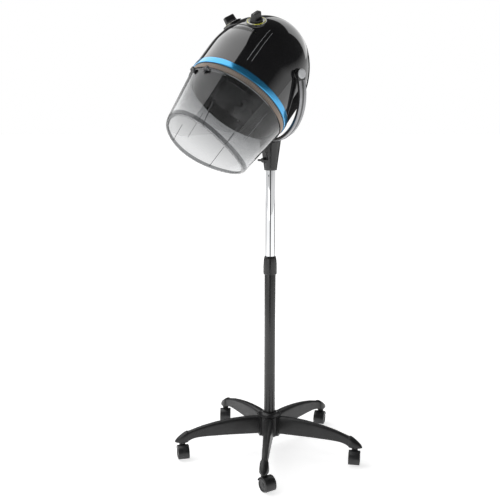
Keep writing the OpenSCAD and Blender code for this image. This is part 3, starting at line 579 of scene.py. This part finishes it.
def visor_mesh(segs=240):
    """The visor's whole skin: outer wall, rolled edge, lip and inner wall."""
    bm = bmesh.new()
    sections = []
    for k in range(segs):
        a = 2 * math.pi * k / segs
        x = MOUTH_R * math.cos(a)
        z0 = mouth_z(x)
        r0, r1 = cone_r(z0), cone_r(VENT_Z)
        wall_z = [VENT_Z + (z0 + EDGE_H - VENT_Z) * u for u in (0.3, 0.6, 0.85, 1.0)]
        roll_r, roll_z = r0 - EDGE_ROLL, z0 + EDGE_ROLL
        sec = [(r1 - WALL, VENT_Z - SEAT_GAP), (r1, VENT_Z - SEAT_GAP)]
        sec += [(cone_r(z), z) for z in wall_z]
        for i in range(1, 9):  # the rolled outer edge
            t = math.pi / 2 * i / 8
            swell = 0.3 * (1 - i / 8)
            sec.append((roll_r + EDGE_ROLL * math.cos(t) + swell, roll_z - EDGE_ROLL * math.sin(t)))
        sec += [(r0 - LIP + LIP_NOSE, z0), (r0 - LIP, z0 + 0.8), (r0 - LIP, z0 + 2.2),
                (r0 - LIP + LIP_NOSE, z0 + WALL)]
        for i in range(0, 7):  # the inner corner
            t = math.pi / 2 * (1 - i / 6)
            sec.append((roll_r + WALL * math.cos(t), roll_z - WALL * math.sin(t)))
        sec += [(cone_r(z) - WALL, z) for z in wall_z[::-1]]
        sections.append([bm.verts.new((r * math.cos(a), r * math.sin(a), z)) for r, z in sec])
    n = len(sections[0])
    edge_faces = range(5, 25)
    for k in range(segs):
        a, b = sections[k], sections[(k + 1) % segs]
        for i in range(n):
            f = bm.faces.new((a[i], a[(i + 1) % n], b[(i + 1) % n], b[i]))
            f.material_index = 1 if i in edge_faces else 0
    return bm


def flap_space(half, top):
    """Cutter that takes in the flip-up panel's part of the visor."""
    def cutter(b):
        cuboid(b, (0, -half, -270), (230, half, top))
    return cutter


HINGE_Z, KNUCKLE_R = -50.0, 4.2
HINGE = (cone_r(HINGE_Z) + 5, 0.0, HINGE_Z)
FLAP_TOP, FLAP_GAP = -46.0, 0.4
ring = add("visor_body", visor_mesh(), (VISOR, VISOR_EDGE), "hood", HOOD,
           replaces=("visor_ring",))
carve(ring, flap_space(FLAP_HALF, FLAP_TOP), matrix=HOOD)
flap = add("visor_front_panel", visor_mesh(), (VISOR, VISOR_EDGE), "flap", HOOD,
           replaces=("visor_flap",))
carve(flap, flap_space(FLAP_HALF - FLAP_GAP, FLAP_TOP - FLAP_GAP), "INTERSECT", HOOD)


def knuckles(b, y0, y1, lo, hi):
    """Pair of hinge barrels, each with its plate between two (x, z) corners."""
    for s in (-1, 1):
        lathe(b, soften([(0, y0), (KNUCKLE_R, y0), (KNUCKLE_R, y1), (0, y1)], [0, 0.6, 0.6, 0], 2), segs=32,
              closed=False, matrix=Matrix.Translation(HINGE) @ turned(-90 * s, "X"))
        cuboid(b, (lo[0], min(s * y0, s * y1), lo[1]), (hi[0], max(s * y0, s * y1), hi[1]), bevel=0.5)


bm = bmesh.new()
knuckles(bm, 33.3, 40.7, (HINGE[0] - 3, HINGE_Z), (HINGE[0] + 4, VENT_Z - 0.2))
add("hinge_brackets", bm, SEAM, "hood", HOOD)
bm = bmesh.new()
knuckles(bm, 22.3, 31.7, (HINGE[0] - 6.5, -58.5), (HINGE[0] - 0.5, -48.5))
add("hinge_leaves", bm, SEAM, "flap", HOOD)


def inner_wall(z):
    """(r, z) on the visor's inner wall."""
    return cone_r(z) - WALL, z


def seam(b, angle, z1, z_end=None):
    """A moulded rib line down the inner wall, and across the lip unless z_end stops it."""
    half = 0.75
    z0 = mouth_z(MOUTH_R * math.cos(math.radians(angle)))
    if z_end is None:
        path = [inner_wall(z1), inner_wall((z1 + z0) / 2), inner_wall(z0 + 9), (cone_r(z0) - 5.0, z0 + 4.3),
                (cone_r(z0) - LIP + 1, z0 + WALL)]
    else:
        path = [inner_wall(z1), inner_wall(z_end)]
    corners = ((0.1, -half), (0.1, half), (-0.5, half), (-0.5, -half))
    loft(b, [[turned(angle) @ Vector((r + dx, dy, z)) for dx, dy in corners] for r, z in path])


bm = bmesh.new()
for angle, z1 in ((78, -150), (-78, -150), (140, -52), (-140, -52)):
    seam(bm, angle, z1)
add("visor_rib_lines", bm, SEAM, "hood", HOOD)
# the upper rib lines take the lighter seam copy, which is painted light where light catches them
bm = bmesh.new()
for angle in (95, -95):
    seam(bm, angle, -60, -165)
add("visor_rib_lines_upper", bm, SEAM_LIT, "hood", HOOD)

# edge lines of the flip-up panel, on the panel's own cut edges
bm = bmesh.new()
LINE_TOP, LINE_STEPS = -52, 12
line_drop = mouth_z(MOUTH_R * 0.74) + 10 - LINE_TOP
for s in (-1, 1):
    y = s * (FLAP_HALF - 0.9)
    loops = []
    for i in range(LINE_STEPS + 1):
        r, z = inner_wall(LINE_TOP + line_drop * i / LINE_STEPS)
        x = math.sqrt(r * r - y * y)
        loops.append([Vector((x + dx, y + dy, z)) for dx, dy in
                      ((0.1, -0.7), (0.1, 0.4), (-0.6, 0.4), (-0.6, -0.7))])
    loft(bm, loops)
add("panel_edge_lines", bm, SEAM, "flap", HOOD)

# ---------------------------------------------------------------- controls


def knob_piece(name, side, body, node_name):
    """Round skirt with grip ribs, a bar grip and its pointer mark."""
    at = on_dome(side, KNOB_A)
    base, grip_ribs = KNOB_BASE, 36
    bm = bmesh.new()
    lathe(bm, soften([(0, base), (KNOB_R - 0.1, base), (KNOB_R, base + 5.5), (KNOB_R - 1.5, base + SKIRT_H),
                      (0, base + SKIRT_H)], [0, 0.5, 1.2, 1.2, 0], 4), segs=96, closed=False)
    rib = ((KNOB_R - 0.4, -0.55), (KNOB_R, -0.3), (KNOB_R, 0.3), (KNOB_R - 0.4, 0.55))
    for k in range(grip_ribs):
        turn = Matrix.Rotation(2 * math.pi * k / grip_ribs, 4, "Z")
        loft(bm, [[turn @ Vector((x, y, base + z)) for x, y in rib] for z in (0.6, 5.4)])
    levels = ((6.5, 18.0, 8.5), (12, 17.8, 8.3), (23.0, 17.2, 7.8), (25.2, 16.4, 7.2), (25.95, 14.8, 5.6))
    loft(bm, [[Vector((x, y, base + z)) for x, y in
               soften([(-hx, -hy), (hx, -hy), (hx, hy), (-hx, hy)], 2.6, 5)] for z, hx, hy in levels])
    add(name, bm, KNOB, body, at, sharp=40, replaces=(node_name,))
    bm = bmesh.new()
    cuboid(bm, (6.0, -0.6, base + 25.2), (14.8, 0.6, base + GRIP_H), bevel=0.2)
    add(name + "_pointer", bm, MARK, body, at)


knob_piece("knob_timer", KNOB_SIDE, "timer_dial", "timer_knob")
knob_piece("knob_heat", -KNOB_SIDE, "heat_dial", "heat_knob")
DIAL_LOW, DIAL_IN_R, DIAL_OUT_R, TICKS = 3.52, 22.1, 29.0, 25
for tag, side, paint in (("a", KNOB_SIDE, DIAL_A), ("b", -KNOB_SIDE, DIAL_B)):
    at = on_dome(side, KNOB_A)
    bm = bmesh.new()
    lathe(bm, soften([(DIAL_IN_R, DIAL_LOW), (26.8, DIAL_LOW), (26.8, 4.3), (DIAL_IN_R, 4.3)], 0.25, 3),
          segs=96)
    add("dial_face_" + tag, bm, GLOSS if tag == "a" else DIAL_B, "hood", at,
        replaces=("dial_rings",) if tag == "a" else (), local=tag == "b")
    bm = bmesh.new()
    lathe(bm, soften([(26.5, DIAL_LOW), (DIAL_OUT_R, DIAL_LOW), (DIAL_OUT_R, 4.6), (28.2, 5.0), (26.9, 5.0),
                      (26.5, 4.6)], 0.4, 3), segs=96)
    add("dial_rim_" + tag, bm, paint, "hood", at, local=True)
    bm = bmesh.new()
    for k in range(TICKS):
        start = 22.6 if k % 4 == 0 else 24.2
        cuboid(bm, (start, -0.35, 4.28), (26.2, 0.35, 4.42), turned(-150 + 12.5 * k))
    add("dial_ticks_" + tag, bm, MARK if tag == "a" else DARK, "hood", at)

# ---------------------------------------------------------------- yoke


def arm_points():
    """Arm section: across the arm, then outwards."""
    w, t = YOKE_W / 2, YOKE_T / 2
    pts = [(-w, -t), (w, -t), (w, t - 0.4), (w - 5.5, t), (4.6, t), (3.2, t - 1.5), (-3.2, t - 1.5),
           (-4.6, t), (5.5 - w, t), (-w, t - 0.4)]
    return soften(pts, [3.5, 3.5, 2.6, 3.5, 0.7, 0.7, 0.7, 0.7, 3.5, 2.6], 3)


section = arm_points()
ACROSS, ARC_STEPS = Vector((1, 0, 0)), 64
path = [(Vector((0, YOKE_R, z)), Vector((0, 1, 0))) for z in YOKE_TOPS]
for k in range(ARC_STEPS + 1):
    a = math.pi * k / ARC_STEPS
    path.append((Vector((0, YOKE_R * math.cos(a), -STRAIGHT - YOKE_R * math.sin(a))),
                 Vector((0, math.cos(a), -math.sin(a)))))
path += [(Vector((0, -YOKE_R, z)), Vector((0, -1, 0))) for z in YOKE_TOPS[::-1]]
bm = bmesh.new()
loft(bm, [[c + ACROSS * u + out * v for u, v in section] for c, out in path])
for f in bm.faces:
    c = f.calc_center_median()
    away = math.hypot(c.y, min(c.z + STRAIGHT, 0)) - YOKE_R
    f.material_index = 1 if c.z < -16 and away > 4.6 and abs(c.x) > 3.9 else 0
for s in (-1, 1):
    lathe(bm, soften([(0, ARM_IN + 0.05), (14.0, ARM_IN + 0.05), (14.0, ARM_IN + 11.9), (0, ARM_IN + 11.9)],
                     [0, 1.6, 1.6, 0], 4), segs=72, closed=False,
          matrix=turned(-90 * s, "X"))
add("yoke_arm", bm, (YOKE_M, RIDGE), "head", YOKE, sharp=40, replaces=("yoke",))
bm = bmesh.new()
for s in (-1, 1):
    crown = soften([(14.9, 184.0), (15.0, 186.4), (13.0, 188.0), (0, 188.6)], [0.2, 1.2, 3.0, 0], 5)
    lathe(bm, [(0, 184.0)] + crown, segs=80, closed=False, matrix=turned(-90 * s, "X"))
add("pivot_cover_caps", bm, CAP, "head", moved(*PIVOT), replaces=("pivot_caps",))

# ---------------------------------------------------------------- pole
TUBE_TOP, TUBE_FOOT, TUBE_R = 638.0, 63.0, 19.0
MAST_TOP, MAST_FOOT, MAST_R = 1053.0, 363.0, 15.5
TUBE_WALL = 1.5
bm = bmesh.new()
lathe(bm, soften([(MAST_R - TUBE_WALL, MAST_FOOT), (MAST_R, MAST_FOOT), (MAST_R, MAST_TOP),
                  (MAST_R - TUBE_WALL, MAST_TOP)], 0.3, 2), segs=96)
add("chrome_mast", bm, CHROME, "mast", None, replaces=("upper_tube",))
bm = bmesh.new()
lathe(bm, soften([(TUBE_R - TUBE_WALL, TUBE_FOOT), (TUBE_R, TUBE_FOOT), (TUBE_R, TUBE_TOP),
                  (TUBE_R - TUBE_WALL, TUBE_TOP)], 0.3, 2), segs=96)
lathe(bm, [(6, TUBE_FOOT), (18.2, TUBE_FOOT), (18.2, TUBE_FOOT + 10), (6, TUBE_FOOT + 10)], segs=64)
add("pole_tube", bm, POLE, "base", None, replaces=("lower_tube",))
bm = bmesh.new()
COLLAR_LOW, COLLAR_R, COLLAR_BORE_R = TUBE_TOP - 13, 23.0, 20.9
NECK_R, SKIRT_TOP, CURVE_H, FLUTES = 17.0, COLLAR_LOW + 16, 45, 12
outer = [(COLLAR_BORE_R, COLLAR_LOW), (COLLAR_R - 1, COLLAR_LOW), (COLLAR_R, COLLAR_LOW + 1.2),
         (COLLAR_R, SKIRT_TOP)]
outer += [(NECK_R + (COLLAR_R - NECK_R) * math.cos(math.radians(6.75 * k)),
           SKIRT_TOP + CURVE_H * math.sin(math.radians(7.5 * k))) for k in range(1, 13)]
outer += [(16.0, COLLAR_LOW + 62), (16.0, TUBE_TOP + 25), (COLLAR_BORE_R, TUBE_TOP + 25)]
lathe(bm, outer, segs=120)
collar = add("twist_collar", bm, COLLAR, "collar", None, replaces=("clamp_collar",))


def flutes(b):
    """Finger flutes round the collar's skirt."""
    groove = [(r, COLLAR_LOW + z) for r, z in ((0, 3), (2.0, 3), (2.0, 12.5), (1.2, 13.6), (0, 14))]
    for k in range(FLUTES):
        lathe(b, groove, segs=24, closed=False,
              matrix=turned(360 / FLUTES * k) @ Matrix.Translation((COLLAR_R + 1.2, 0, 0)))


carve(collar, flutes)

# ---------------------------------------------------------------- base
REACH, HUB_TOP, COVER_IN_R, COVER_R = 308.0, 126.0, 19.3, 40.4
LEG_TURN, LEG_STEP = 46.0, 72
CASTOR_AT = (84.0, 39.0, 34.0, 49.0, 64.0)
# sections along a leg and along its tip: place, top, bottom, half width
LEG_ROWS = [(40.9, 124, 65, 17.0), (44, 124.2, 65, 17.0), (70, 125.0, 65.8, 16.4), (100, 124.6, 66.8, 15.4),
            (130, 122.8, 67.8, 14.4), (160, 119.6, 68.5, 13.5), (190, 115.4, 68.8, 12.6),
            (215, 110.6, 69.0, 11.8), (238, 105.6, 68.6, 11.0), (256, 100.4, 67.4, 10.4),
            (270, 96.0, 65.0, 10.2), (280, 92.6, 61.6, 10.8), (288, 90.4, 58.0, 12.2)]
TIP_ROWS = [(288.2, 91.2, 57.0, 13.0), (291, 92.0, 55.4, 14.8), (297, 89.4, 55.05, 15.8),
            (304, 85.2, 55.05, 15.9), (311, 80.0, 55.05, 15.4), (318, 74.6, 55.05, 13.6),
            (325, 68.6, 55.05, 10.4), (330, 63.2, 55.3, 7.0), (333.4, 58.6, 55.6, 3.4)]


def leg_loop(x, top, low, half):
    """Rounded top, drafted flanks and a flat underside."""
    n, chamfer = 10, 1.6
    crown, waist = min(half * 0.95, (top - low) * 0.5), low + (top - low) * 0.3
    angles = [math.pi * k / n for k in range(n + 1)]
    outline = [(half * 0.94 * math.cos(a), top - crown + crown * math.sin(a) ** 0.8) for a in angles]
    outline += [(-half, waist), (-half, low + chamfer), (-half + chamfer, low), (half - chamfer, low),
                (half, low + chamfer), (half, waist)]
    return [Vector((x, y, z)) for y, z in outline]


for i in range(1, 6):
    turn = turned(LEG_TURN + LEG_STEP * (i - 1))
    bm = bmesh.new()
    loft(bm, [leg_loop(*row) for row in LEG_ROWS])
    loft(bm, [leg_loop(*row) for row in TIP_ROWS])
    for x in (226, 236, 246, 256, 266):  # shallow ribs on the flanks near the tip
        j = max(n for n, row in enumerate(LEG_ROWS) if row[0] <= x)
        a, b = LEG_ROWS[j], LEG_ROWS[j + 1]
        u = (x - a[0]) / (b[0] - a[0])
        top, low, half = (a[q] + (b[q] - a[q]) * u for q in (1, 2, 3))
        for s in (-1, 1):
            y = s * half * 0.965
            pts = [(-1.0, -0.7 * s), (1.0, -0.7 * s), (0.6, 0.55 * s), (-0.6, 0.55 * s)]
            lo = [Vector((x + dx + 2.0, y + dy, low + 5)) for dx, dy in pts]
            hi = [Vector((x + dx - 2.0, y + dy * 0.8, top - half * 0.95)) for dx, dy in pts]
            loft(bm, [lo, hi])
    add("leg_arm_%d" % i, bm, BASE, "base", turn, sharp=42, replaces=("leg_%d" % i,))

bm = bmesh.new()
lathe(bm, soften([(COVER_IN_R, HUB_TOP), (COVER_R, HUB_TOP), (40.0, HUB_TOP + 1.5), (29.0, HUB_TOP + 3),
                  (22.0, HUB_TOP + 9), (COVER_IN_R, HUB_TOP + 9)], [0.2, 0.5, 0.8, 5.0, 1.2, 0.3], 5),
      segs=120)
add("hub_top_cover", bm, BASE, "base", None, sharp=50, replaces=("hub_cover",))
for name in ("base_hub", "head_bracket", "lock_screw"):
    crisp(name, 0.8)

# ---------------------------------------------------------------- castors
TRAIL, WHEEL_R, WHEEL_APART = 16.0, 23.0, 4.0
AXLE_R, AXLE_HALF, WHEEL_BORE_R = 3, 18, 3.02
axle = Matrix.Translation((TRAIL, 0, WHEEL_R))
tread = soften([(WHEEL_BORE_R, 0), (22.0, 0), (WHEEL_R, 1.2), (WHEEL_R, 11.0), (21.6, 13.6), (18.4, 15.0),
                (16.0, 13.4), (15.0, 12.2), (8.6, 12.0), (7.4, 13.4), (WHEEL_BORE_R, 13.4)],
               [0, 0.8, 0.8, 2.0, 1.6, 1.2, 0.8, 0.8, 0.8, 0.6, 0], 4)
for i in range(1, 6):
    a = math.radians(LEG_TURN + LEG_STEP * (i - 1))
    at = moved(REACH * math.cos(a), REACH * math.sin(a), 0) @ turned(CASTOR_AT[i - 1])
    bm = bmesh.new()
    lathe(bm, [(0, -AXLE_HALF), (AXLE_R, -AXLE_HALF), (AXLE_R, AXLE_HALF), (0, AXLE_HALF)], segs=32,
          closed=False, matrix=axle @ turned(-90, "X"))
    for s in (-1, 1):
        lathe(bm, [(r, WHEEL_APART + z) for r, z in tread], segs=72, matrix=axle @ turned(-90 * s, "X"))
    add("castor_wheel_pair_%d" % i, bm, WHEEL, "wheels_%d" % i, at, sharp=45,
        replaces=("castor_wheels_%d" % i,))
    crisp("castor_fork_%d" % i, 0.4)

# ---------------------------------------------------------------- floor
bm = bmesh.new()
bmesh.ops.create_circle(bm, cap_ends=True, segments=96, radius=30.0)
me = new_mesh("studio_floor", bm)
floor = new_object("studio_floor", me)
floor.location.z = -0.0005
paper = material("floor_white", (0.80, 0.80, 0.80), 0.8, vary=0.05, tone=(0.79, 0.79, 0.79))
paper.node_tree.nodes["Principled BSDF"].inputs["Emission Color"].default_value = (1, 1, 1, 1)
pt = paper.node_tree
p_co = pt.nodes.new("ShaderNodeTexCoord")
p_far = node(pt, "ShaderNodeVectorMath", _operation="LENGTH")
p_glow = map_range(pt, 0.35, 1.3, 0.74, 1.05)
pt.links.new(p_co.outputs["Object"], p_far.inputs[0])
pt.links.new(p_far.outputs["Value"], p_glow.inputs["Value"])
pt.links.new(p_glow.outputs[0], pt.nodes["Principled BSDF"].inputs["Emission Strength"])
me.materials.append(paper)

# black cards in front of the stand and behind it, seen only in reflections:
# azimuth, distance and height of the middle in metres, half width and half height in millimetres
card_look = material("card_black", (0.01, 0.01, 0.01), 0.9, tone=(0.012, 0.012, 0.012))
CARDS = ((49, 2.75, 1.0, 640, 1000), (-133, 3.4, 0.95, 1650, 900),
         (-176, 3.0, 0.36, 900, 350), (-86, 3.0, 0.36, 900, 350))
for k, (azimuth, away, height, half_w, half_h) in enumerate(CARDS):
    bm = bmesh.new()
    cuboid(bm, (-half_w, -10, -half_h), (half_w, 10, half_h))
    bmesh.ops.scale(bm, vec=(MM, MM, MM), verts=bm.verts)
    me = new_mesh("black_card_%d" % k, bm)
    card = new_object("black_card_%d" % k, me)
    card.location = around(azimuth, 0, away, (0, 0, height))
    card.rotation_euler = (0, 0, math.radians(azimuth + 90))
    card.visible_camera = card.visible_shadow = card.visible_diffuse = card.visible_transmission = False
    me.materials.append(card_look)
